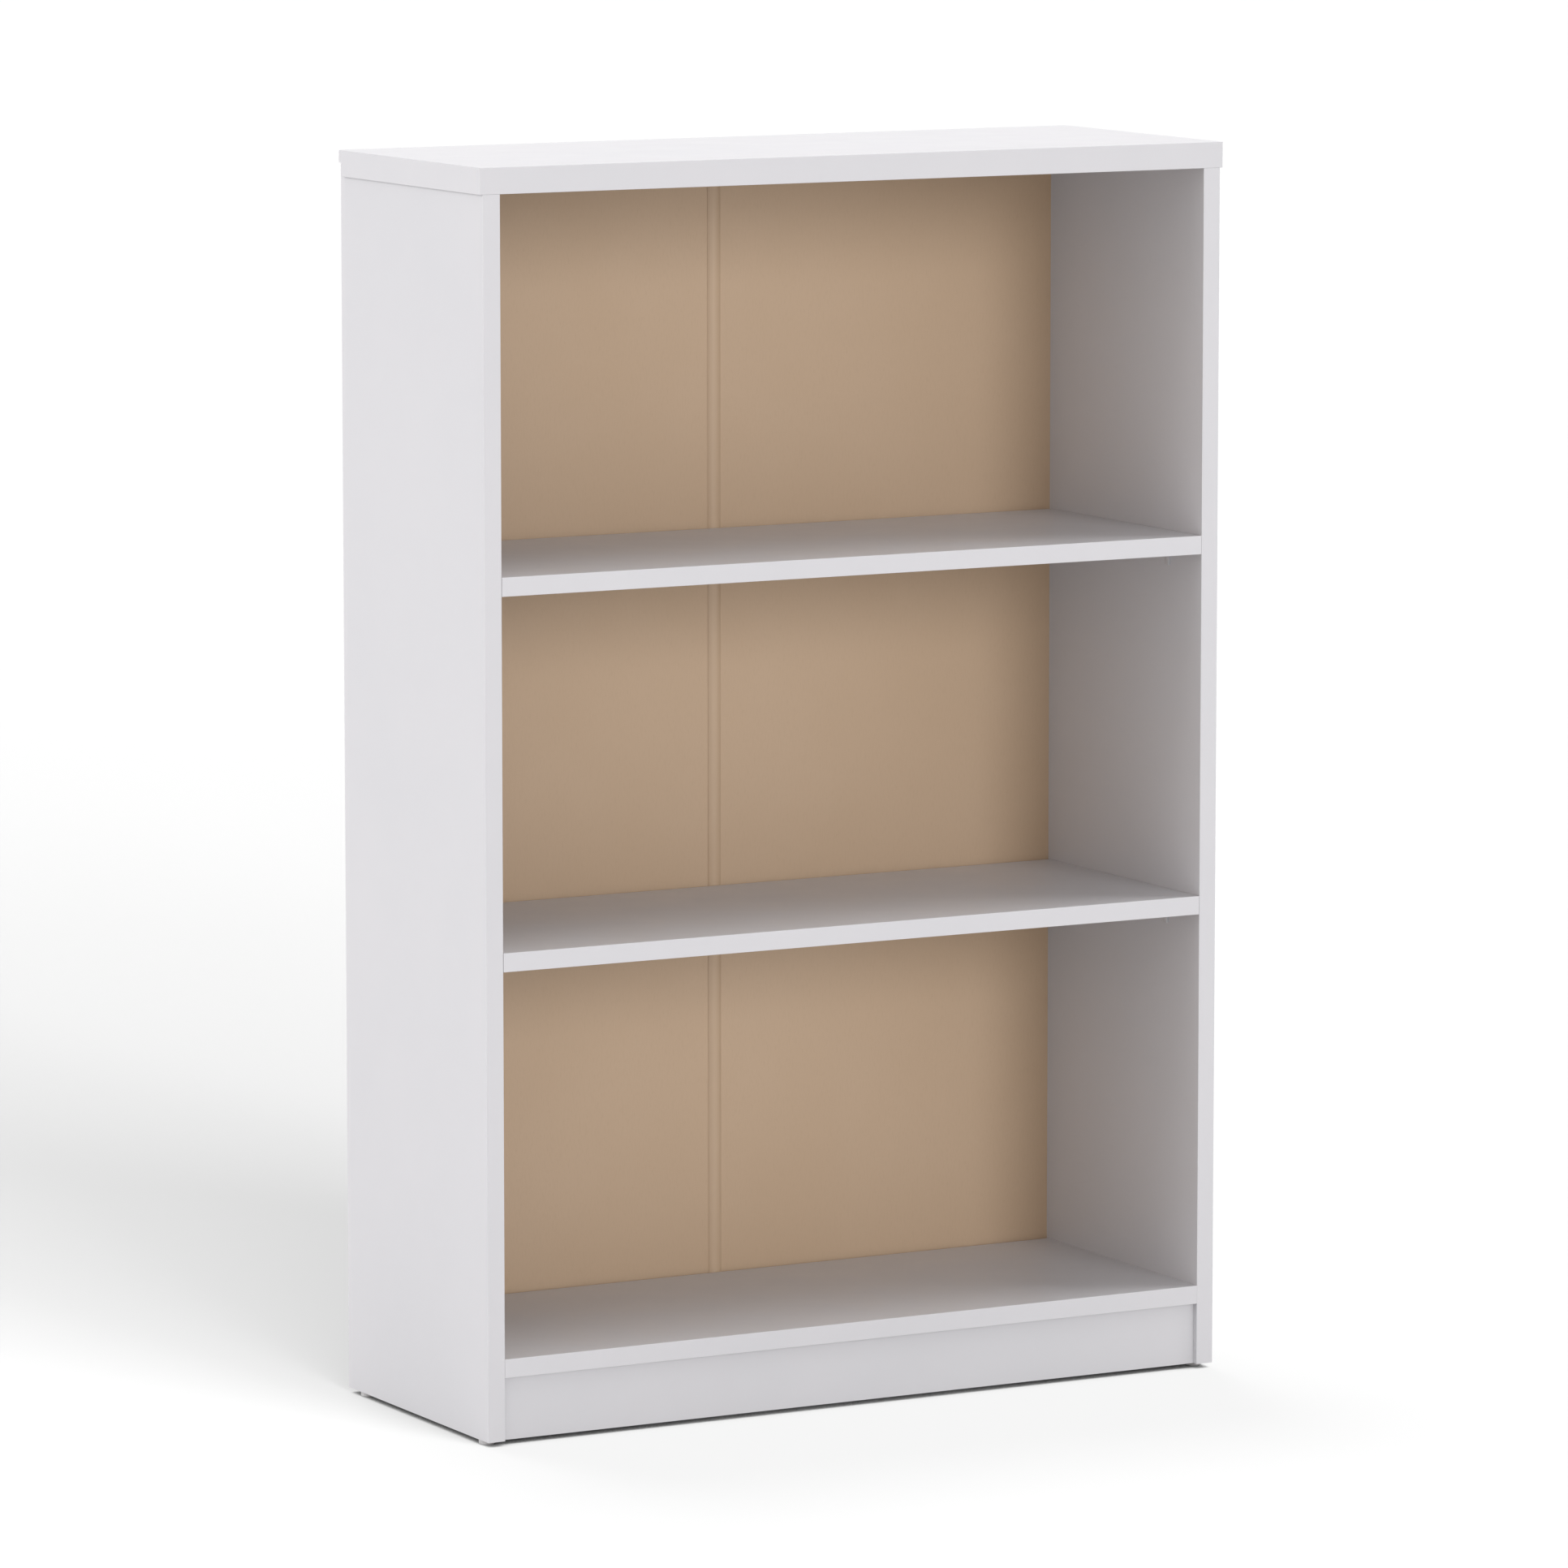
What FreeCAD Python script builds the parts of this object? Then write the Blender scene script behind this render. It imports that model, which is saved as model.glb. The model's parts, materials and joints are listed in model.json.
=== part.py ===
import FreeCAD, Part
import os

# Open bookcase, in millimetres: +X to the right, +Y to the back, +Z up,
# with the origin on the floor below the middle of the case

# Overall size
overall_width = 800.0
overall_depth = 300.0
overall_height = 1200.0

# Boards
board_thickness = 18.0
top_thickness = 25.0
back_thickness = 8.0
side_overhang = 3.0  # the top stands this far out past each side panel

# Heights above the lower ends of the side panels
plinth_height = 60.0
lower_shelf_level = 445.0  # underside of the lower loose shelf
shelf_spacing = 352.0  # from one loose shelf to the next

# Plinth and shelves
plinth_setback = 6.0
shelf_end_gap = 0.3  # between a loose shelf and each side panel
shelf_back_gap = 1.0  # between a shelf and the strip on the back

# Edge bands
band_thickness = 1.0
band_round = 0.5
back_band_thickness = 0.8

# Rebate along the lower rear edge of the top, which takes the back
rebate_height = 13.0
rebate_gap = 1.0  # above the back
back_proud = 2.0  # the back stands this far behind the top

# Strip that joins the two halves of the back
strip_width = 14.0
strip_crown = 2.7  # how far the rounded front of the strip stands out in its middle
strip_edge = 0.4  # how far it stands out at its edges
strip_flange = 1.5  # thickness of the flat flange behind the back
strip_web = 1.2
strip_fit = 0.2

# Hardwood dowels
dowel_diameter = 8.0
dowel_length = 35.0
dowel_cover = 5.0  # board left behind a dowel hole in a face
dowel_end_gap = 1.0
dowel_fit = 0.1
dowel_chamfer = 0.8
dowel_edge_distance = 45.0  # first and last dowel, from the front and rear edges
dowels_per_joint = 3
plinth_dowel_height_shares = (0.3, 0.7)
plinth_dowel_width_shares = (-0.3, 0.0, 0.3)

# Screws that hold the back
screw_diameter = 3.5
screw_head_diameter = 7.0
screw_head_height = 2.4
screw_length = 30.0
screw_point = 4.0
screw_fit = 0.1
slot_width = 0.9
slot_length = 4.2
slot_depth = 1.5
screw_end_distance = 60.0  # first and last screw, from the ends of a side panel
screws_per_side = 5
top_screw_width_shares = (-0.4, -0.14, 0.14, 0.4)

# Supports under the loose shelves: steel angles with a pin
support_height = 16.0
support_reach = 10.0
support_width = 7.0
support_sheet = 2.0
support_bend = 1.5
support_corner = 1.0  # rounding of the angle's free corners
support_setback = 62.0  # from the front and rear edges of a shelf
pin_diameter = 5.0
pin_length = 9.0
pin_chamfer = 0.5
pin_drop = 9.0  # from the underside of the shelf to the pin
pin_end_gap = 1.0
pin_fit = 0.1

# Glides nailed under the side panels
glide_height = 5.0
glide_diameter = 15.0
glide_round = 1.2
glide_front_setback = 21.0  # clear of the dowels in the ends of the plinth
glide_rear_setback = 17.0
nail_diameter = 2.0
nail_length = 18.0
nail_head_diameter = 6.0
nail_head_height = 1.0
nail_sink = 1.5  # the nail's head lies this far above the floor
nail_fit = 0.1

# How far a cut runs past the faces that it opens, and how near two places count as one
cut_overrun = 1.0
same_place = 0.01

# Planes of the case
half_width = overall_width / 2
outer_face = half_width - side_overhang
inner_face = outer_face - board_thickness
side_middle = (outer_face + inner_face) / 2
front = -overall_depth / 2
core_front = front + band_thickness
back_rear = overall_depth / 2 - strip_flange
back_front = back_rear - back_thickness
top_rear = back_rear - back_proud
shelf_rear = back_front - strip_crown - shelf_back_gap
side_foot = glide_height
top_underside = overall_height - top_thickness
rebate_top = top_underside + rebate_height
back_top = rebate_top - rebate_gap
bottom_underside = side_foot + plinth_height
lower_underside = side_foot + lower_shelf_level
upper_underside = lower_underside + shelf_spacing
plinth_front = front + plinth_setback
plinth_rear = plinth_front + board_thickness
plinth_middle = (plinth_front + plinth_rear) / 2

sides = {"left": -1, "right": 1}
rightward = FreeCAD.Vector(1, 0, 0)
backward = FreeCAD.Vector(0, 1, 0)
upward = FreeCAD.Vector(0, 0, 1)


def box(x_pair, y_pair, z_pair):
    low = FreeCAD.Vector(min(x_pair), min(y_pair), min(z_pair))
    high = FreeCAD.Vector(max(x_pair), max(y_pair), max(z_pair))
    size = high - low
    return Part.makeBox(size.x, size.y, size.z, low)


def spread(first, last, count):
    if count == 1:
        return [(first + last) / 2]
    step = (last - first) / (count - 1)
    return [first + step * index for index in range(count)]


def round_edges(solid, radius, chosen):
    edges = [edge for edge in solid.Edges if chosen(edge)]
    return solid.makeFillet(radius, edges)


def lies_at(edge, axis, place):
    span = edge.BoundBox
    low = getattr(span, axis + "Min")
    high = getattr(span, axis + "Max")
    return abs(low - place) + abs(high - place) < same_place


def drill(board, holes):
    for hole in holes:
        board = board.cut(hole)
    return board


def front_band(x_pair, z_pair, upright):
    band = box(x_pair, (front, core_front), z_pair)
    long_axis = "Z" if upright else "X"
    end_places = z_pair if upright else x_pair

    def on_front(edge):
        at_an_end = any(lies_at(edge, long_axis, place) for place in end_places)
        return lies_at(edge, "Y", front) and not at_an_end

    return round_edges(band, band_round, on_front)


def dowel(middle, direction, face_thickness):
    reach = face_thickness - dowel_cover - dowel_end_gap
    start = middle - direction * (dowel_length - reach)
    peg = Part.makeCylinder(dowel_diameter / 2, dowel_length, start, direction)
    rims = [edge for edge in peg.Edges if isinstance(edge.Curve, Part.Circle)]
    return peg.makeChamfer(dowel_chamfer, rims)


def dowel_hole(middle, direction, face_thickness):
    reach = face_thickness - dowel_cover - dowel_end_gap
    start = middle - direction * (dowel_length - reach + dowel_end_gap)
    radius = dowel_diameter / 2 + dowel_fit
    return Part.makeCylinder(radius, dowel_length + 2 * dowel_end_gap, start, direction)


def screw(head_middle):
    forward = backward * -1
    radius = screw_diameter / 2
    head = Part.makeCone(screw_head_diameter / 2, radius, screw_head_height, head_middle, forward)
    shank_end = head_middle + forward * (screw_length - screw_point)
    shank = Part.makeCylinder(radius, screw_length - screw_point, head_middle, forward)
    tip = Part.makeCone(radius, 0, screw_point, shank_end, forward)
    body = head.fuse([shank, tip]).removeSplitter()
    half_slot = slot_length / 2
    half_width_of_slot = slot_width / 2
    deep = (head_middle.y - slot_depth, head_middle.y + cut_overrun)
    across = box(
        (head_middle.x - half_slot, head_middle.x + half_slot),
        deep,
        (head_middle.z - half_width_of_slot, head_middle.z + half_width_of_slot),
    )
    along = box(
        (head_middle.x - half_width_of_slot, head_middle.x + half_width_of_slot),
        deep,
        (head_middle.z - half_slot, head_middle.z + half_slot),
    )
    return body.cut(across).cut(along)


def screw_hole(head_middle):
    forward = backward * -1
    radius = screw_diameter / 2 + screw_fit
    sink = Part.makeCone(
        screw_head_diameter / 2 + screw_fit, radius, screw_head_height, head_middle, forward
    )
    mouth = Part.makeCylinder(
        screw_head_diameter / 2 + screw_fit, cut_overrun, head_middle, backward
    )
    bore = Part.makeCylinder(radius, screw_length + screw_fit, head_middle, forward)
    return sink.fuse([mouth, bore]).removeSplitter()


def support(hand, depth_place, underside):
    wall = hand * inner_face
    half = support_width / 2
    low = underside - support_height
    near = wall - hand * support_sheet
    far = wall - hand * support_reach
    depth_pair = (depth_place - half, depth_place + half)
    plate = box((near, wall), depth_pair, (low, underside))
    ledge = box((far, wall), depth_pair, (underside - support_sheet, underside))
    angle = plate.fuse(ledge).removeSplitter()

    def inside_the_bend(edge):
        return lies_at(edge, "X", near) and lies_at(edge, "Z", underside - support_sheet)

    def outside_the_bend(edge):
        return lies_at(edge, "X", wall) and lies_at(edge, "Z", underside)

    def at_a_free_corner(edge):
        at_an_end = lies_at(edge, "Z", low) or lies_at(edge, "X", far)
        return at_an_end and any(lies_at(edge, "Y", place) for place in depth_pair)

    angle = round_edges(angle, support_bend, inside_the_bend)
    angle = round_edges(angle, support_bend + support_sheet, outside_the_bend)
    angle = round_edges(angle, support_corner, at_a_free_corner)
    start = FreeCAD.Vector(wall, depth_place, underside - pin_drop)
    pin = Part.makeCylinder(pin_diameter / 2, pin_length, start, rightward * hand)
    tip = [edge for edge in pin.Edges if lies_at(edge, "X", wall + hand * pin_length)]
    return angle.fuse(pin.makeChamfer(pin_chamfer, tip)).removeSplitter()


def support_hole(hand, depth_place, underside):
    start = FreeCAD.Vector(hand * inner_face, depth_place, underside - pin_drop)
    return Part.makeCylinder(
        pin_diameter / 2 + pin_fit, pin_length + pin_end_gap, start, rightward * hand
    )


def glide(middle):
    disc = Part.makeCylinder(glide_diameter / 2, glide_height, middle)

    def at_the_floor(edge):
        return lies_at(edge, "Z", middle.z)

    disc = round_edges(disc, glide_round, at_the_floor)
    seat = Part.makeCylinder(
        nail_head_diameter / 2 + nail_fit, nail_sink + nail_head_height, middle
    )
    bore = Part.makeCylinder(nail_diameter / 2 + nail_fit, glide_height, middle)
    return disc.cut(seat).cut(bore)


def nail(middle):
    start = middle + upward * nail_sink
    head = Part.makeCylinder(nail_head_diameter / 2, nail_head_height, start)
    shank = Part.makeCylinder(nail_diameter / 2, nail_length, start)
    return head.fuse(shank).removeSplitter()


def nail_hole(middle):
    length = nail_sink + nail_length + nail_fit
    return Part.makeCylinder(nail_diameter / 2 + nail_fit, length, middle)


# Where the fastenings and supports go
dowel_depths = spread(front + dowel_edge_distance, back_front - dowel_edge_distance, dowels_per_joint)
support_depths = {"front": front + support_setback, "rear": shelf_rear - support_setback}
shelf_undersides = {"lower": lower_underside, "upper": upper_underside}
glide_depths = {"front": front + glide_front_setback, "rear": back_front - glide_rear_setback}
screw_heights = spread(
    side_foot + screw_end_distance, top_underside - screw_end_distance, screws_per_side
)
inner_width = 2 * inner_face

top_joints = {}
bottom_joints = {}
plinth_end_joints = {}
side_screws = {}
glide_middles = {}
for side, hand in sides.items():
    outward = rightward * hand
    top_joints[side] = [
        (FreeCAD.Vector(hand * side_middle, depth, top_underside), upward, top_thickness)
        for depth in dowel_depths
    ]
    bottom_joints[side] = [
        (
            FreeCAD.Vector(hand * inner_face, depth, bottom_underside + board_thickness / 2),
            outward,
            board_thickness,
        )
        for depth in dowel_depths
    ]
    plinth_end_joints[side] = [
        (
            FreeCAD.Vector(hand * inner_face, plinth_middle, side_foot + plinth_height * share),
            outward,
            board_thickness,
        )
        for share in plinth_dowel_height_shares
    ]
    side_screws[side] = [
        FreeCAD.Vector(hand * side_middle, back_rear, height) for height in screw_heights
    ]
    for end, depth in glide_depths.items():
        glide_middles[end, side] = FreeCAD.Vector(hand * side_middle, depth, 0)
plinth_top_joints = [
    (FreeCAD.Vector(inner_width * share, plinth_middle, bottom_underside), upward, board_thickness)
    for share in plinth_dowel_width_shares
]
top_screws = {
    side: [
        FreeCAD.Vector(inner_width * share, back_rear, (top_underside + rebate_top) / 2)
        for share in top_screw_width_shares
        if share * hand > 0
    ]
    for side, hand in sides.items()
}


def make_top():
    width = half_width - band_thickness
    rebate = box(
        (-half_width - cut_overrun, half_width + cut_overrun),
        (back_front, top_rear + cut_overrun),
        (top_underside - cut_overrun, rebate_top),
    )
    core = box((-width, width), (core_front, top_rear), (top_underside, overall_height)).cut(rebate)
    holes = [dowel_hole(*joint) for side in sides for joint in top_joints[side]]
    holes += [screw_hole(place) for side in sides for place in top_screws[side]]
    pieces = {"top_panel": drill(core, holes)}

    nose = box(
        (-half_width, half_width), (front, core_front), (top_underside, overall_height)
    )
    pieces["top_front_edge_band"] = round_edges(
        nose, band_round, lambda edge: lies_at(edge, "Y", front)
    )
    for side, hand in sides.items():
        end = hand * half_width
        band = box((hand * width, end), (core_front, top_rear), (top_underside, overall_height))

        def along_the_outside(edge, end=end):
            across = lies_at(edge, "Y", core_front) or lies_at(edge, "Y", top_rear)
            return lies_at(edge, "X", end) and not across

        rounded = round_edges(band, band_round, along_the_outside)
        pieces["top_" + side + "_edge_band"] = rounded.cut(rebate)
    return pieces


def make_side(side, hand):
    x_pair = (hand * inner_face, hand * outer_face)
    core = box(x_pair, (core_front, back_front), (side_foot, top_underside))
    joints = top_joints[side] + bottom_joints[side] + plinth_end_joints[side]
    holes = [dowel_hole(*joint) for joint in joints]
    holes += [screw_hole(place) for place in side_screws[side]]
    holes += [nail_hole(glide_middles[end, side]) for end in glide_depths]
    for underside in shelf_undersides.values():
        holes += [support_hole(hand, depth, underside) for depth in support_depths.values()]
    return {
        side + "_side_panel": drill(core, holes),
        side + "_side_edge_band": front_band(x_pair, (side_foot, top_underside), True),
    }


def make_shelf(name, underside, end_gap, holes):
    x_pair = (end_gap - inner_face, inner_face - end_gap)
    z_pair = (underside, underside + board_thickness)
    core = box(x_pair, (core_front, shelf_rear), z_pair)
    return {
        name: drill(core, holes),
        name + "_edge_band": front_band(x_pair, z_pair, False),
    }


def make_plinth():
    board = box(
        (-inner_face, inner_face), (plinth_front, plinth_rear), (side_foot, bottom_underside)
    )
    joints = plinth_end_joints["left"] + plinth_end_joints["right"] + plinth_top_joints
    return {"plinth": drill(board, [dowel_hole(*joint) for joint in joints])}


def make_back(side, hand):
    seam = hand * (strip_web / 2 + strip_fit)
    edge_of_core = hand * (outer_face - back_band_thickness)
    y_pair = (back_front, back_rear)
    z_pair = (side_foot, back_top)
    holes = [screw_hole(place) for place in side_screws[side] + top_screws[side]]
    return {
        side + "_back_panel": drill(box((seam, edge_of_core), y_pair, z_pair), holes),
        side + "_back_edge_band": box((edge_of_core, hand * outer_face), y_pair, z_pair),
    }


def make_strip():
    half = strip_width / 2
    left_root = FreeCAD.Vector(-half, back_front, side_foot)
    right_root = FreeCAD.Vector(half, back_front, side_foot)
    right_lip = FreeCAD.Vector(half, back_front - strip_edge, side_foot)
    crown = FreeCAD.Vector(0, back_front - strip_crown, side_foot)
    left_lip = FreeCAD.Vector(-half, back_front - strip_edge, side_foot)
    outline = Part.Wire([
        Part.LineSegment(left_root, right_root).toShape(),
        Part.LineSegment(right_root, right_lip).toShape(),
        Part.Arc(right_lip, crown, left_lip).toShape(),
        Part.LineSegment(left_lip, left_root).toShape(),
    ])
    front_flange = Part.Face(outline).extrude(upward * (top_underside - side_foot))
    web = box(
        (-strip_web / 2, strip_web / 2), (back_front, back_rear), (side_foot, back_top)
    )
    rear_flange = box((-half, half), (back_rear, back_rear + strip_flange), (side_foot, back_top))
    return {"back_joining_strip": front_flange.fuse([web, rear_flange]).removeSplitter()}


def make_supports():
    return {
        level + "_" + end + "_" + side + "_shelf_support": support(hand, depth, underside)
        for level, underside in shelf_undersides.items()
        for end, depth in support_depths.items()
        for side, hand in sides.items()
    }


def make_glides():
    pieces = {
        end + "_" + side + "_glide": glide(middle) for (end, side), middle in glide_middles.items()
    }
    pieces["glide_nails"] = Part.makeCompound([nail(middle) for middle in glide_middles.values()])
    return pieces


def make_fasteners():
    def group_of_dowels(joints):
        return Part.makeCompound([dowel(*joint) for joint in joints])

    def group_of_screws(places):
        return Part.makeCompound([screw(place) for place in places])

    return {
        "top_dowels": group_of_dowels(top_joints["left"] + top_joints["right"]),
        "bottom_shelf_dowels": group_of_dowels(bottom_joints["left"] + bottom_joints["right"]),
        "plinth_end_dowels": group_of_dowels(plinth_end_joints["left"] + plinth_end_joints["right"]),
        "plinth_top_dowels": group_of_dowels(plinth_top_joints),
        "side_back_screws": group_of_screws(side_screws["left"] + side_screws["right"]),
        "top_back_screws": group_of_screws(top_screws["left"] + top_screws["right"]),
    }


pieces = make_top()
for side, hand in sides.items():
    pieces.update(make_side(side, hand))
    pieces.update(make_back(side, hand))
bottom_holes = [
    dowel_hole(*joint)
    for joint in bottom_joints["left"] + bottom_joints["right"] + plinth_top_joints
]
pieces.update(make_shelf("bottom_shelf", bottom_underside, 0, bottom_holes))
for level, underside in shelf_undersides.items():
    pieces.update(make_shelf(level + "_shelf", underside, shelf_end_gap, []))
pieces.update(make_plinth())
pieces.update(make_strip())
pieces.update(make_supports())
pieces.update(make_glides())
pieces.update(make_fasteners())

os.makedirs("parts", exist_ok=True)
for name, shape in pieces.items():
    shape.exportStep("parts/" + name + ".step")
    print(name, len(shape.Solids), "solid", shape.isValid(), round(shape.Volume))
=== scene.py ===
# Open bookcase: finishes, small hardware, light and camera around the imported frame
import json
import math

import bpy
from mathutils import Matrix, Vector


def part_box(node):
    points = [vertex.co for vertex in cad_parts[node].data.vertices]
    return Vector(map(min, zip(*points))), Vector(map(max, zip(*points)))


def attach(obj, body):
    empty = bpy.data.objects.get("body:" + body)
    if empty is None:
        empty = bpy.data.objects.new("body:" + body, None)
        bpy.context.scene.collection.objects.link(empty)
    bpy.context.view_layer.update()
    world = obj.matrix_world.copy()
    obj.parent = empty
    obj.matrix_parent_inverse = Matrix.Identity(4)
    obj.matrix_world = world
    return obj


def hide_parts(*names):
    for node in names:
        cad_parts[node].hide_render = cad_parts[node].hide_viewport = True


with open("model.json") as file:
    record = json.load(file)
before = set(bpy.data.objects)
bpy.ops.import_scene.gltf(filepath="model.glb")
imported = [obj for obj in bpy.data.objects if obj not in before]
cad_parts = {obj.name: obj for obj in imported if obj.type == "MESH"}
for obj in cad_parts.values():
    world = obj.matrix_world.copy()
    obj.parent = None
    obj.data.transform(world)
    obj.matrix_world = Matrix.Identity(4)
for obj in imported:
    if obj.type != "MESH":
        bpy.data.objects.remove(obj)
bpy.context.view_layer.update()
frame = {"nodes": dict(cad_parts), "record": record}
cadNodes = frame["nodes"]
slotOf = {part["node"]: part["material_slot"] for part in frame["record"]["subparts"]}
millimetre = 0.001
print("frame loaded,", len(cadNodes), "nodes")


# Node helpers

noiseSpan = (0.3, 0.7)  # nearly all of a noise lies between these


def plug(tree, socket, value):
    if isinstance(value, bpy.types.NodeSocket):
        tree.links.new(value, socket)
    else:
        socket.default_value = value


def addNode(tree, kind, settings=None, **plugs):
    # a plug has the name of the node's input, with _ for a space
    made = tree.nodes.new("ShaderNode" + kind)
    for name, value in (settings or {}).items():
        setattr(made, name, value)
    for name, value in plugs.items():
        plug(tree, made.inputs[name.replace("_", " ")], value)
    return made


def combine(tree, operation, first, second):
    made = addNode(tree, "Math", {"operation": operation})
    plug(tree, made.inputs[0], first)
    plug(tree, made.inputs[1], second)
    return made.outputs[0]


def startFinish(name):
    finish = bpy.data.materials.new(name)
    finish.use_nodes = True
    tree = finish.node_tree
    place = addNode(tree, "TexCoord").outputs["Object"]
    return finish, tree, tree.nodes["Principled BSDF"], place


def grainy(tree, place, size, detail=2.0, stretch=(1, 1, 1)):
    # a noise whose lumps are about size metres across, longer where stretch is over 1
    scaled = addNode(tree, "Mapping", Vector=place, Scale=[1 / (size * times) for times in stretch])
    made = addNode(tree, "TexNoise", Vector=scaled.outputs["Vector"], Scale=1.0, Detail=detail)
    return made.outputs["Fac"]


def toRange(tree, value, low, high, span=noiseSpan):
    made = addNode(tree, "MapRange", Value=value, From_Min=span[0], From_Max=span[1],
                   To_Min=low, To_Max=high)
    return made.outputs["Result"]


def patches(tree, place, grain, low=0.0, high=1.0):
    return toRange(tree, grainy(tree, place, **grain), low, high)


def mixColours(tree, share, first, second):
    return addNode(tree, "MixRGB", Fac=share, Color1=first, Color2=second).outputs["Color"]


def addBump(tree, shader, height, depth, strength):
    made = addNode(tree, "Bump", Height=height, Distance=depth, Strength=strength)
    plug(tree, shader.inputs["Normal"], made.outputs["Normal"])


def colour(red, green, blue):
    return (red, green, blue, 1.0)


# Chipboard core where a board's cut edges are left bare

chipCore = {
    "straw": colour(0.56, 0.40, 0.23),
    "bark": colour(0.27, 0.16, 0.08),
    "chip": 3.2 * millimetre,
    "pressed": 2.4,                     # how much flatter the chips lie across the board
    "chipShare": 0.7,
    "dust": {"size": 0.35 * millimetre, "detail": 3.0},
    "dustLow": -0.15,
    "dustHigh": 0.3,
    "rough": 0.85,
}


def chipboardColour(tree, place, through):
    flatten = [chipCore["pressed"] if axis else 1.0 for axis in through]
    chips = addNode(tree, "Mapping", Vector=place, Scale=[times / chipCore["chip"] for times in flatten])
    cells = addNode(tree, "TexVoronoi", Vector=chips.outputs["Vector"], Scale=1.0)
    tone = addNode(tree, "SeparateColor", Color=cells.outputs["Color"]).outputs["Red"]
    dust = patches(tree, place, chipCore["dust"], chipCore["dustLow"], chipCore["dustHigh"])
    mixed = combine(tree, "ADD", combine(tree, "MULTIPLY", tone, chipCore["chipShare"]), dust)
    return mixColours(tree, mixed, chipCore["bark"], chipCore["straw"])


def cutEdges(tree, through):
    # 1 on the faces that look along the board, 0 on its two broad faces
    facing = addNode(tree, "NewGeometry").outputs["True Normal"]
    size = addNode(tree, "VectorMath", {"operation": "ABSOLUTE"})
    plug(tree, size.inputs[0], facing)
    along = addNode(tree, "VectorMath", {"operation": "DOT_PRODUCT"})
    plug(tree, along.inputs[0], size.outputs["Vector"])
    plug(tree, along.inputs[1], [1 - axis for axis in through])
    return combine(tree, "GREATER_THAN", along.outputs["Value"], 0.5)


# Pale melamine boards

melamine = {
    "pale": colour(0.73, 0.716, 0.74),
    "cool": colour(0.713, 0.703, 0.728),
    "cloud": {"size": 0.16, "detail": 3.0},
    "rub": {"size": 0.05, "detail": 4.0},
    "rubbed": 0.35,
    "matt": 0.46,
    "pearl": {"size": 0.55 * millimetre, "detail": 2.0},
    "pressing": {"depth": 0.03 * millimetre, "strength": 0.25},
}


def melamineFinish(name, through=None):
    # through points across the thickness of a board whose cut edges are bare
    finish, tree, shader, place = startFinish(name)
    tone = mixColours(tree, patches(tree, place, melamine["cloud"]), melamine["pale"], melamine["cool"])
    gloss = patches(tree, place, melamine["rub"], melamine["rubbed"], melamine["matt"])
    if through:
        bare = cutEdges(tree, through)
        tone = mixColours(tree, bare, tone, chipboardColour(tree, place, through))
        gloss = combine(tree, "MAXIMUM", gloss, combine(tree, "MULTIPLY", bare, chipCore["rough"]))
    plug(tree, shader.inputs["Base Color"], tone)
    plug(tree, shader.inputs["Roughness"], gloss)
    addBump(tree, shader, grainy(tree, place, **melamine["pearl"]), **melamine["pressing"])
    return finish


# Pale plastic edge bands

edgeBand = {
    "pale": colour(0.735, 0.72, 0.744),
    "cool": colour(0.722, 0.71, 0.735),
    "drift": {"size": 0.09, "detail": 2.0},
    "rub": {"size": 0.02, "detail": 3.0},
    "satin": 0.33,
    "dull": 0.42,
    "peel": {"size": 2.4 * millimetre, "detail": 1.0},
    "relief": {"depth": 0.02 * millimetre, "strength": 0.2},
}


def edgeBandFinish():
    finish, tree, shader, place = startFinish("paleEdgeBand")
    plug(tree, shader.inputs["Base Color"],
         mixColours(tree, patches(tree, place, edgeBand["drift"]), edgeBand["pale"], edgeBand["cool"]))
    plug(tree, shader.inputs["Roughness"],
         patches(tree, place, edgeBand["rub"], edgeBand["satin"], edgeBand["dull"]))
    addBump(tree, shader, grainy(tree, place, **edgeBand["peel"]), **edgeBand["relief"])
    return finish


# Tan back and its joining strip

tanBack = {
    "tan": colour(0.666, 0.479, 0.322),
    "brown": colour(0.642, 0.456, 0.30),
    "fleck": colour(0.589, 0.412, 0.269),
    "cloud": {"size": 0.22, "detail": 3.0},
    "fibre": {"size": 1.1 * millimetre, "detail": 3.0, "stretch": (1, 1, 6)},
    "fleckSpan": (0.5, 0.8),            # the stretch of the fibres' noise that shows as flecks
    "fleckShare": 0.35,
    "rub": {"size": 0.04, "detail": 3.0},
    "rubbed": 0.44,
    "flat": 0.52,
    "relief": {"depth": 0.02 * millimetre, "strength": 0.2},
}


def tanBackFinish():
    finish, tree, shader, place = startFinish("tanBackBoard")
    tone = mixColours(tree, patches(tree, place, tanBack["cloud"]), tanBack["tan"], tanBack["brown"])
    fibres = grainy(tree, place, **tanBack["fibre"])
    flecks = toRange(tree, fibres, 0.0, tanBack["fleckShare"], tanBack["fleckSpan"])
    plug(tree, shader.inputs["Base Color"], mixColours(tree, flecks, tone, tanBack["fleck"]))
    plug(tree, shader.inputs["Roughness"],
         patches(tree, place, tanBack["rub"], tanBack["rubbed"], tanBack["flat"]))
    addBump(tree, shader, fibres, **tanBack["relief"])
    return finish


tanStrip = {
    "tan": colour(0.666, 0.479, 0.322),
    "drawn": colour(0.625, 0.446, 0.293),
    "line": {"size": 0.5 * millimetre, "stretch": (1, 1, 400)},  # drawn lines of the extrusion
    "lineShare": 0.5,
    "rub": {"size": 0.03, "detail": 3.0},
    "satin": 0.32,
    "dull": 0.42,
    "relief": {"depth": 0.015 * millimetre, "strength": 0.25},
}


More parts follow.
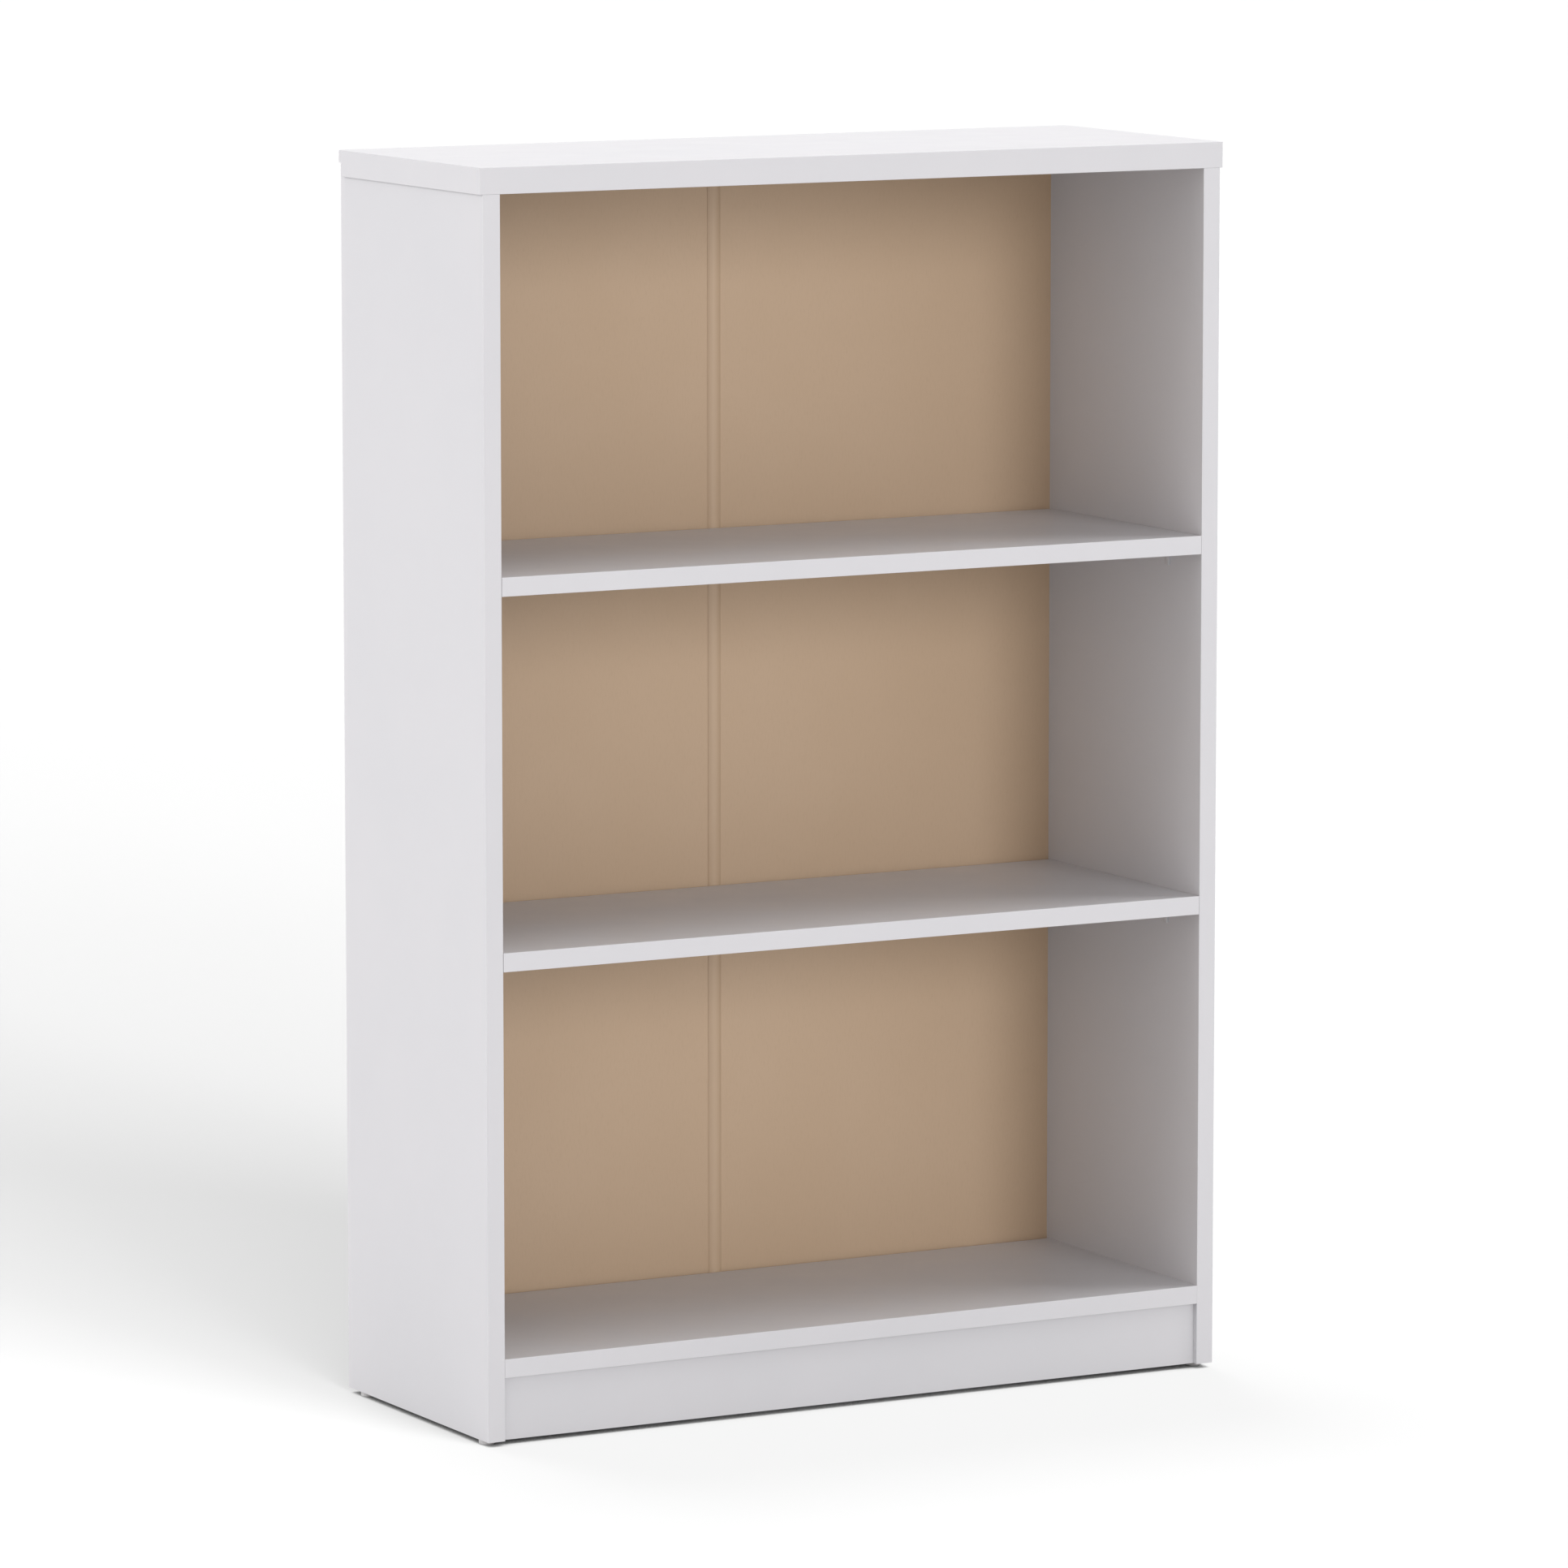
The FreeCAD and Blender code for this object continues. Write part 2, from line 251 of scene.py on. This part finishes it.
def tanStripFinish():
    finish, tree, shader, place = startFinish("tanStrip")
    lines = grainy(tree, place, **tanStrip["line"])
    shade = toRange(tree, lines, 0.0, tanStrip["lineShare"])
    plug(tree, shader.inputs["Base Color"], mixColours(tree, shade, tanStrip["tan"], tanStrip["drawn"]))
    plug(tree, shader.inputs["Roughness"],
         patches(tree, place, tanStrip["rub"], tanStrip["satin"], tanStrip["dull"]))
    addBump(tree, shader, lines, **tanStrip["relief"])
    return finish


# Plated screws and nails, lacquered supports, moulded glides and beech dowels

plated = {
    "stain": {"size": 4 * millimetre, "detail": 4.0},
    "scratch": {"size": 0.3 * millimetre, "detail": 2.0},
    "relief": {"depth": 0.02 * millimetre, "strength": 0.2},
    "zincScrew": {"bright": colour(0.64, 0.62, 0.54), "dim": colour(0.50, 0.47, 0.40),
                  "polished": 0.30, "dull": 0.46},
    "nailSteel": {"bright": colour(0.50, 0.50, 0.50), "dim": colour(0.36, 0.35, 0.34),
                  "polished": 0.32, "dull": 0.50},
}


def platedFinish(name):
    look = plated[name]
    finish, tree, shader, place = startFinish(name)
    shader.inputs["Metallic"].default_value = 1.0
    stains = patches(tree, place, plated["stain"])
    scratches = grainy(tree, place, **plated["scratch"])
    plug(tree, shader.inputs["Base Color"], mixColours(tree, stains, look["bright"], look["dim"]))
    plug(tree, shader.inputs["Roughness"], toRange(tree, scratches, look["polished"], look["dull"]))
    addBump(tree, shader, scratches, **plated["relief"])
    return finish


supportLacquer = {
    "pale": colour(0.69, 0.675, 0.69),
    "cool": colour(0.66, 0.65, 0.67),
    "drift": {"size": 4 * millimetre, "detail": 3.0},
    "peel": {"size": 1.3 * millimetre, "detail": 1.0},
    "gloss": 0.26,
    "dull": 0.38,
    "relief": {"depth": 0.02 * millimetre, "strength": 0.3},
}


def lacquerFinish():
    finish, tree, shader, place = startFinish("supportLacquer")
    drift = patches(tree, place, supportLacquer["drift"])
    plug(tree, shader.inputs["Base Color"],
         mixColours(tree, drift, supportLacquer["pale"], supportLacquer["cool"]))
    peel = grainy(tree, place, **supportLacquer["peel"])
    plug(tree, shader.inputs["Roughness"],
         toRange(tree, peel, supportLacquer["gloss"], supportLacquer["dull"]))
    addBump(tree, shader, peel, **supportLacquer["relief"])
    return finish


mouldedGlide = {
    "pale": colour(0.70, 0.69, 0.70),
    "grey": colour(0.61, 0.60, 0.61),
    "scuff": {"size": 2 * millimetre, "detail": 4.0},
    "smooth": 0.36,
    "scuffed": 0.55,
    "spark": {"size": 0.4 * millimetre},
    "relief": {"depth": 0.03 * millimetre, "strength": 0.3},
}


def glideFinish():
    finish, tree, shader, place = startFinish("mouldedGlide")
    scuffs = patches(tree, place, mouldedGlide["scuff"])
    plug(tree, shader.inputs["Base Color"],
         mixColours(tree, scuffs, mouldedGlide["pale"], mouldedGlide["grey"]))
    plug(tree, shader.inputs["Roughness"],
         toRange(tree, scuffs, mouldedGlide["smooth"], mouldedGlide["scuffed"]))
    addBump(tree, shader, grainy(tree, place, **mouldedGlide["spark"]), **mouldedGlide["relief"])
    return finish


beech = {
    "pale": colour(0.60, 0.42, 0.25),
    "dark": colour(0.44, 0.28, 0.15),
    "grain": {"size": 0.8 * millimetre, "detail": 3.0, "stretch": (1, 1, 12)},
    "planed": 0.55,
    "rough": 0.75,
    "relief": {"depth": 0.05 * millimetre, "strength": 0.3},
}


def beechFinish():
    finish, tree, shader, place = startFinish("beechDowel")
    grain = grainy(tree, place, **beech["grain"])
    plug(tree, shader.inputs["Base Color"],
         mixColours(tree, toRange(tree, grain, 0.0, 1.0), beech["pale"], beech["dark"]))
    plug(tree, shader.inputs["Roughness"], toRange(tree, grain, beech["planed"], beech["rough"]))
    addBump(tree, shader, grain, **beech["relief"])
    return finish


# Which finish goes on which node

sideBoard = melamineFinish("paleSideBoard", (1, 0, 0))
plinthBoard = melamineFinish("palePlinthBoard", (0, 1, 0))
shelfBoard = melamineFinish("paleShelfBoard", (0, 0, 1))
boardFinish = {
    "top_panel": melamineFinish("paleTopBoard"), "plinth": plinthBoard,
    "left_side_panel": sideBoard, "right_side_panel": sideBoard,
    "bottom_shelf": shelfBoard, "lower_shelf": shelfBoard, "upper_shelf": shelfBoard,
}
slotFinish = {
    "pale_edge_band": edgeBandFinish(),
    "tan_back_board": tanBackFinish(),
    "tan_strip": tanStripFinish(),
    "support_steel": lacquerFinish(),
    "glide_plastic": glideFinish(),
    "dowel_wood": beechFinish(),
    "screw_steel": platedFinish("zincScrew"),
    "nail_steel": platedFinish("nailSteel"),
}
for name, node in cadNodes.items():
    finish = boardFinish.get(name) or slotFinish[slotOf[name]]
    if not node.material_slots:
        node.data.materials.append(finish)
    for place in node.material_slots:
        place.material = finish
print("finishes on", len(cadNodes), "nodes")


# Small hardware, modelled once and copied to its places

samePlace = 0.01 * millimetre
smoothAngle = 30.0  # edges sharper than this stay sharp


def clearSelection():
    if bpy.context.object and bpy.context.object.mode != "OBJECT":
        bpy.ops.object.mode_set(mode="OBJECT")
    bpy.ops.object.select_all(action="DESELECT")


def takeUp(piece):
    clearSelection()
    piece.select_set(True)
    bpy.context.view_layer.objects.active = piece


def setInPlace():
    bpy.ops.object.transform_apply(location=True, rotation=True, scale=True)


def choose(kind, test):
    # in edit mode, leaves only the edges or faces whose every corner passes the test
    bpy.ops.mesh.select_mode(type=kind)
    bpy.ops.mesh.select_all(action="DESELECT")
    bpy.ops.object.mode_set(mode="OBJECT")
    mesh = bpy.context.object.data
    for item in mesh.edges if kind == "EDGE" else mesh.polygons:
        item.select = all(test(mesh.vertices[corner].co) for corner in item.vertices)
    bpy.ops.object.mode_set(mode="EDIT")


def isAt(value, wanted):
    return abs(value - wanted) < samePlace


def roundEdges(test, width, steps):
    choose("EDGE", test)
    bpy.ops.mesh.bevel(offset=width, segments=steps, affect="EDGES")


def faceOutwards():
    bpy.ops.mesh.select_all(action="SELECT")
    bpy.ops.mesh.normals_make_consistent(inside=False)


def applyModifier(piece, kind, **settings):
    takeUp(piece)
    made = piece.modifiers.new(kind.lower(), kind)
    for name, value in settings.items():
        setattr(made, name, value)
    bpy.ops.object.modifier_apply(modifier=made.name)


def throwAway(piece):
    mesh = piece.data
    bpy.data.objects.remove(piece)
    bpy.data.meshes.remove(mesh)


def joinOrCut(piece, tool, operation):
    applyModifier(piece, "BOOLEAN", operation=operation, object=tool, solver="EXACT")
    throwAway(tool)


def finishPiece(piece, angle=smoothAngle):
    takeUp(piece)
    setInPlace()
    bpy.ops.object.shade_smooth_by_angle(angle=math.radians(angle))


def copyTo(pattern, name, place, mirrored=False):
    takeUp(pattern)
    bpy.ops.object.duplicate(linked=False)
    piece = bpy.context.object
    piece.name = name
    piece.data.name = name
    piece.location = place
    if mirrored:
        piece.scale = (-1, 1, 1)
    setInPlace()
    if mirrored:
        bpy.ops.object.mode_set(mode="EDIT")
        faceOutwards()
        bpy.ops.object.mode_set(mode="OBJECT")
    return piece


# Shelf supports: a folded steel angle with a pin through its plate

support = {
    "height": 16.0 * millimetre,
    "reach": 10.0 * millimetre,
    "width": 7.0 * millimetre,
    "sheet": 2.0 * millimetre,
    "flatAngle": 1.0,                   # faces closer to flat than this become one
    "bend": 1.5 * millimetre,
    "bendSteps": 5,
    "foldSteps": 8,                     # on the outside of the bend
    "corner": 1.0 * millimetre,
    "cornerSteps": 4,
    "arris": 0.2 * millimetre,
    "arrisSteps": 2,
    "arrisAngle": 50.0,
    "pinAcross": 5.0 * millimetre,
    "pinSides": 40,
    "pinLength": 9.0 * millimetre,
    "pinTip": 0.5 * millimetre,
    "tipSteps": 3,
    "pinDrop": 9.0 * millimetre,
}


def modelPin():
    # starts inside the plate, so that the two join
    start, end = -support["sheet"] / 2, support["pinLength"]
    clearSelection()
    bpy.ops.mesh.primitive_cylinder_add(
        vertices=support["pinSides"], radius=support["pinAcross"] / 2, depth=end - start,
        location=((start + end) / 2, 0, -support["pinDrop"]), rotation=(0, math.pi / 2, 0))
    pin = bpy.context.object
    setInPlace()
    bpy.ops.object.mode_set(mode="EDIT")
    roundEdges(lambda c: isAt(c.x, end), support["pinTip"], support["tipSteps"])
    bpy.ops.object.mode_set(mode="OBJECT")
    return pin


def modelSupport():
    # the wall is at x 0, the shelf's underside at z 0, and the pin points along x
    tall, sheet, half = support["height"], support["sheet"], support["width"] / 2
    bend, corner = support["bend"], support["corner"]
    clearSelection()
    bpy.ops.mesh.primitive_cube_add(size=1.0, location=(-sheet / 2, 0, -tall / 2),
                                    scale=(sheet, support["width"], tall))
    angle = bpy.context.object
    setInPlace()
    bpy.ops.object.mode_set(mode="EDIT")
    bpy.ops.mesh.select_all(action="SELECT")
    bpy.ops.mesh.bisect(plane_co=(0, 0, -sheet), plane_no=(0, 0, 1))
    choose("FACE", lambda c: isAt(c.x, -sheet) and c.z > -sheet - samePlace)
    bpy.ops.mesh.extrude_region_move(
        TRANSFORM_OT_translate={"value": (sheet - support["reach"], 0, 0)})
    bpy.ops.mesh.select_all(action="SELECT")
    bpy.ops.mesh.dissolve_limited(angle_limit=math.radians(support["flatAngle"]))
    roundEdges(lambda c: isAt(c.x, -sheet) and isAt(c.z, -sheet), bend, support["bendSteps"])
    roundEdges(lambda c: isAt(c.x, 0) and isAt(c.z, 0), bend + sheet, support["foldSteps"])
    for flank in (-half, half):  # one at a time, or the ends' long edges would be chosen too
        roundEdges(lambda c: isAt(c.y, flank) and isAt(c.z, -tall), corner, support["cornerSteps"])
        roundEdges(lambda c: isAt(c.y, flank) and isAt(c.x, -support["reach"]),
                   corner, support["cornerSteps"])
    bpy.ops.object.mode_set(mode="OBJECT")
    applyModifier(angle, "BEVEL", width=support["arris"], segments=support["arrisSteps"],
                  limit_method="ANGLE", angle_limit=math.radians(support["arrisAngle"]))
    joinOrCut(angle, modelPin(), "UNION")
    finishPiece(angle)
    return angle


def placeSupports(finish):
    pattern = modelSupport()
    for name in sorted(n for n in cadNodes if slotOf[n] == "support_steel"):
        low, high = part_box(name)
        left = low.x < 0
        wall = low.x + support["pinLength"] if left else high.x - support["pinLength"]
        piece = copyTo(pattern, name + "_angle", (wall, (low.y + high.y) / 2, high.z), left)
        piece.data.materials.append(finish)
        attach(piece, "carcass")
        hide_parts(name)
    throwAway(pattern)
    print("shelf supports placed")


# Glides: a moulded disc with a seat for its nail

glide = {
    "across": 15.0 * millimetre,
    "sides": 48,
    "height": 5.0 * millimetre,
    "round": 1.2 * millimetre,
    "roundSteps": 5,
    "seatAcross": 6.2 * millimetre,
    "seatDepth": 2.5 * millimetre,
    "lip": 0.3 * millimetre,
    "lipSteps": 2,
    "boreAcross": 2.2 * millimetre,
    "smoothAngle": 40.0,
}


def modelGlide():
    # stands on the floor at the origin
    outer, tall = glide["across"] / 2, glide["height"]
    seat, bore = glide["seatAcross"] / 2, glide["boreAcross"] / 2
    clearSelection()
    bpy.ops.mesh.primitive_circle_add(vertices=glide["sides"], radius=outer, fill_type="NGON")
    disc = bpy.context.object
    bpy.ops.object.mode_set(mode="EDIT")
    bpy.ops.mesh.select_all(action="SELECT")
    bpy.ops.mesh.extrude_region_move(TRANSFORM_OT_translate={"value": (0, 0, tall)})
    faceOutwards()
    roundEdges(lambda c: isAt(c.z, 0), glide["round"], glide["roundSteps"])
    choose("FACE", lambda c: isAt(c.z, 0))
    bpy.ops.mesh.inset(thickness=outer - glide["round"] - seat)
    bpy.ops.mesh.extrude_region_move(TRANSFORM_OT_translate={"value": (0, 0, glide["seatDepth"])})
    bpy.ops.mesh.inset(thickness=seat - bore)
    bpy.ops.mesh.delete(type="ONLY_FACE")
    choose("FACE", lambda c: isAt(c.z, tall))
    bpy.ops.mesh.inset(thickness=outer - bore)
    bpy.ops.mesh.delete(type="ONLY_FACE")
    choose("EDGE", lambda c: math.hypot(c.x, c.y) < (bore + seat) / 2)  # the bore's two rims
    bpy.ops.mesh.bridge_edge_loops()
    faceOutwards()
    roundEdges(lambda c: isAt(c.z, 0) and isAt(math.hypot(c.x, c.y), seat),
               glide["lip"], glide["lipSteps"])
    bpy.ops.object.mode_set(mode="OBJECT")
    finishPiece(disc, glide["smoothAngle"])
    return disc


def placeGlides(finish):
    pattern = modelGlide()
    for name in sorted(n for n in cadNodes if slotOf[n] == "glide_plastic"):
        low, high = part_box(name)
        piece = copyTo(pattern, name + "_disc", ((low.x + high.x) / 2, (low.y + high.y) / 2, low.z))
        piece.data.materials.append(finish)
        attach(piece, "carcass")
        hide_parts(name)
    throwAway(pattern)
    print("glides placed")


# Back screws: countersunk, with a tapered cross recess

backScrew = {
    "headAcross": 7.0 * millimetre,
    "headDepth": 2.4 * millimetre,
    "sides": 36,
    "rim": 0.15 * millimetre,
    "rimSteps": 2,
    "shank": 3.5 * millimetre,
    "length": 30.0 * millimetre,
    "point": 4.0 * millimetre,
    "tipShare": 0.05,                   # of the shank's width
    "wingLength": 4.2 * millimetre,
    "wingWidth": 0.95 * millimetre,
    "recess": 1.5 * millimetre,
    "taper": 0.45,
    "perSide": 5,
    "topShares": (-0.4, -0.14, 0.14, 0.4),
}


def modelRecessBit():
    # the driver's cross, standing in the head with its wide end outside
    wings = []
    for turn in (0.0, math.pi / 2):
        clearSelection()
        bpy.ops.mesh.primitive_cube_add(
            size=1.0, location=(0, 0, 0), rotation=(0, turn, 0),
            scale=(backScrew["wingLength"], 2 * backScrew["recess"], backScrew["wingWidth"]))
        wing = bpy.context.object
        setInPlace()
        bpy.ops.object.mode_set(mode="EDIT")
        choose("FACE", lambda c: isAt(c.y, -backScrew["recess"]))
        bpy.ops.transform.resize(value=(backScrew["taper"], 1, backScrew["taper"]))
        bpy.ops.object.mode_set(mode="OBJECT")
        wings.append(wing)
    joinOrCut(wings[0], wings[1], "UNION")
    return wings[0]


def modelScrew():
    # the head's face is at the origin, facing backwards, and the point lies along -y
    clearSelection()
    bpy.ops.mesh.primitive_circle_add(vertices=backScrew["sides"], radius=backScrew["headAcross"] / 2,
                                      fill_type="NGON", rotation=(math.pi / 2, 0, 0))
    body = bpy.context.object
    setInPlace()
    bpy.ops.object.mode_set(mode="EDIT")
    bpy.ops.mesh.select_all(action="SELECT")
    steps = ((backScrew["headDepth"], backScrew["shank"] / backScrew["headAcross"]),
             (backScrew["length"] - backScrew["point"] - backScrew["headDepth"], 1.0),
             (backScrew["point"], backScrew["tipShare"]))
    for move, scale in steps:
        bpy.ops.mesh.extrude_region_move(TRANSFORM_OT_translate={"value": (0, -move, 0)})
        bpy.ops.transform.resize(value=(scale, 1, scale))
    faceOutwards()
    roundEdges(lambda c: isAt(c.y, 0), backScrew["rim"], backScrew["rimSteps"])
    bpy.ops.object.mode_set(mode="OBJECT")
    joinOrCut(body, modelRecessBit(), "DIFFERENCE")
    finishPiece(body)
    return body


def screwPlaces(node):
    # the middles of the heads, from the box round all the screws of a group
    reach = backScrew["headAcross"] / 2
    low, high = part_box(node)
    low, high = low + Vector((reach, 0, reach)), high - Vector((reach, 0, reach))
    if node == "side_back_screws":
        last = backScrew["perSide"] - 1
        rows = [low.z + (high.z - low.z) * step / last for step in range(last + 1)]
        return [(x, high.y, z) for x in (low.x, high.x) for z in rows]
    shares = backScrew["topShares"]
    width = (high.x - low.x) / (shares[-1] - shares[0])
    return [(width * share, high.y, (low.z + high.z) / 2) for share in shares]


def placeScrews(finish):
    pattern = modelScrew()
    groups = {"side_back_screws": "sideBackScrews", "top_back_screws": "topBackScrews"}
    for node, name in groups.items():
        copies = [copyTo(pattern, name + str(index), place)
                  for index, place in enumerate(screwPlaces(node))]
        clearSelection()
        for piece in copies:
            piece.select_set(True)
        bpy.context.view_layer.objects.active = copies[0]
        bpy.ops.object.join()
        group = bpy.context.object
        group.name = name
        group.data.materials.clear()
        group.data.materials.append(finish)
        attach(group, "carcass")
        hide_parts(node)
    throwAway(pattern)
    print("back screws placed")


placeSupports(slotFinish["support_steel"])
placeGlides(slotFinish["glide_plastic"])
placeScrews(slotFinish["screw_steel"])


# Floor, light and camera

floor = {
    "size": 80.0,
    "bounce": 0.84,                     # the pale grey that throws light back on the object
    "seen": 0.50,                       # the grey that the floor lamps bring to white
    "rough": 0.9,
    "paintedShadeReach": 0.25,
    "paintedShadeSamples": 8,
    "paintedShadeSpan": (0.06, 0.45),        # painted shade: from closed in, where the floor is painted black, to open
}


def grey(level):
    return colour(level, level, level)


def layPlane(name):
    clearSelection()
    bpy.ops.mesh.primitive_plane_add(size=floor["size"])
    plane = bpy.context.object
    plane.name = name
    plane.visible_shadow = False
    finish, tree, shader, place = startFinish(name)
    shader.inputs["Roughness"].default_value = floor["rough"]
    shader.inputs["Specular IOR Level"].default_value = 0.0
    plane.data.materials.append(finish)
    return plane, tree, shader


def layFloors():
    # the bounce floor only lights the object, the studio floor only shows
    bounce, tree, shader = layPlane("bounceFloor")
    shader.inputs["Base Color"].default_value = grey(floor["bounce"])
    bounce.visible_camera = bounce.visible_glossy = bounce.visible_transmission = False
    seen, tree, shader = layPlane("studioFloor")
    # painted shade: the studio floor's colour turns darker, down to black, where the object closes it
    # in, under and beside it
    clear = addNode(tree, "AmbientOcclusion", {"samples": floor["paintedShadeSamples"]},
                    Distance=floor["paintedShadeReach"]).outputs["AO"]
    paintedShade = toRange(tree, clear, 0.0, 1.0, floor["paintedShadeSpan"])
    plug(tree, shader.inputs["Base Color"],
         mixColours(tree, paintedShade, grey(0.0), grey(floor["seen"])))
    seen.visible_diffuse = False
    return seen


studioFloor = layFloors()

dome = {"strength": 0.33, "seen": 1.0}


def seenRays(tree):
    path = addNode(tree, "LightPath").outputs
    mirrored = combine(tree, "MAXIMUM", path["Is Glossy Ray"], path["Is Transmission Ray"])
    return combine(tree, "MAXIMUM", path["Is Camera Ray"], mirrored)


def makeDome():
    world = bpy.data.worlds.new("studioDome")
    bpy.context.scene.world = world
    world.use_nodes = True
    tree = world.node_tree
    soft, white = tree.nodes["Background"], addNode(tree, "Background")
    for sky, strength in ((soft, dome["strength"]), (white, dome["seen"])):
        sky.inputs["Color"].default_value = grey(1.0)
        sky.inputs["Strength"].default_value = strength
    mix = addNode(tree, "MixShader", Fac=seenRays(tree))
    plug(tree, mix.inputs[1], soft.outputs[0])
    plug(tree, mix.inputs[2], white.outputs[0])
    plug(tree, tree.nodes["World Output"].inputs["Surface"], mix.outputs[0])


makeDome()

# a lamp's strength is the share of white that it gives to a white card facing it
softLamps = {
    "leftSoft": {"azimuth": -100.0, "elevation": 25.0, "spread": 35.0, "strength": 0.298},
    "leftFrontWide": {"azimuth": -60.0, "elevation": 20.0, "spread": 90.0, "strength": 0.188},
    "rightSoft": {"azimuth": 85.0, "elevation": 50.0, "spread": 40.0, "strength": 0.43},
    "backTop": {"azimuth": 180.0, "elevation": 60.0, "spread": 40.0, "strength": 0.21},
    "frontKey": {"azimuth": 7.0, "elevation": 13.0, "spread": 20.0, "strength": 0.24},
}
floorLamps = {
    "floorTop": {"azimuth": 0.0, "elevation": 90.0, "spread": 1.0, "strength": 0.93},
    "floorBack": {"azimuth": 180.0, "elevation": 74.0, "spread": 14.0, "strength": 0.21},
    "floorKeyLeft": {"azimuth": -17.0, "elevation": 12.0, "spread": 22.0, "strength": 0.75},
    "floorKeyMiddle": {"azimuth": -1.0, "elevation": 12.0, "spread": 22.0, "strength": 1.00},
    "floorKeyRight": {"azimuth": 14.0, "elevation": 12.0, "spread": 22.0, "strength": 1.30},
}
lampBounces = 1  # keeps the insides of the bays in shade


def towards(azimuth, elevation):
    # azimuth 0 is in front of the object, 90 on its right
    turn, lift = math.radians(azimuth), math.radians(elevation)
    level = math.cos(lift)
    return Vector((math.sin(turn) * level, -math.cos(turn) * level, math.sin(lift)))


def hangLamp(name, look):
    lamp = bpy.data.lights.new(name, "SUN")
    lamp.angle = math.radians(look["spread"])
    lamp.energy = math.pi * look["strength"]
    lamp.cycles.max_bounces = lampBounces
    held = bpy.data.objects.new(name, lamp)
    bpy.context.scene.collection.objects.link(held)
    aim = -towards(look["azimuth"], look["elevation"])
    held.rotation_mode = "QUATERNION"
    held.rotation_quaternion = aim.to_track_quat("-Z", "Y")
    return held


def hangLamps():
    # the floor has lamps of its own, which bring it to white and lay the shadow on it
    onlyFloor = bpy.data.collections.new("onlyFloor")
    onlyFloor.objects.link(studioFloor)
    notFloor = bpy.data.collections.new("notFloor")
    notFloor.objects.link(studioFloor)
    notFloor.collection_objects[0].light_linking.link_state = "EXCLUDE"
    for name, look in softLamps.items():
        hangLamp(name, look).light_linking.receiver_collection = notFloor
    for name, look in floorLamps.items():
        hangLamp(name, look).light_linking.receiver_collection = onlyFloor
    # the object casts no shadow from the lamp overhead
    bpy.data.objects["floorTop"].light_linking.blocker_collection = onlyFloor


hangLamps()

viewpoint = {
    "from": (-4.07006, -7.44462, 1.73716),
    "along": (0.47542, 0.86940, -0.13459),
    "lens": 203.864,
    "sensor": 36.0,
    "near": 0.1,
    "far": 200.0,
}


def setCamera():
    lens = bpy.data.cameras.new("photoCamera")
    lens.lens, lens.sensor_width = viewpoint["lens"], viewpoint["sensor"]
    lens.clip_start, lens.clip_end = viewpoint["near"], viewpoint["far"]
    camera = bpy.data.objects.new("photoCamera", lens)
    bpy.context.scene.collection.objects.link(camera)
    camera.location = viewpoint["from"]
    camera.rotation_mode = "QUATERNION"
    camera.rotation_quaternion = Vector(viewpoint["along"]).to_track_quat("-Z", "Y")
    bpy.context.scene.camera = camera


setCamera()
bpy.context.scene.view_settings.view_transform = "Standard"
print("floor, light and camera set")
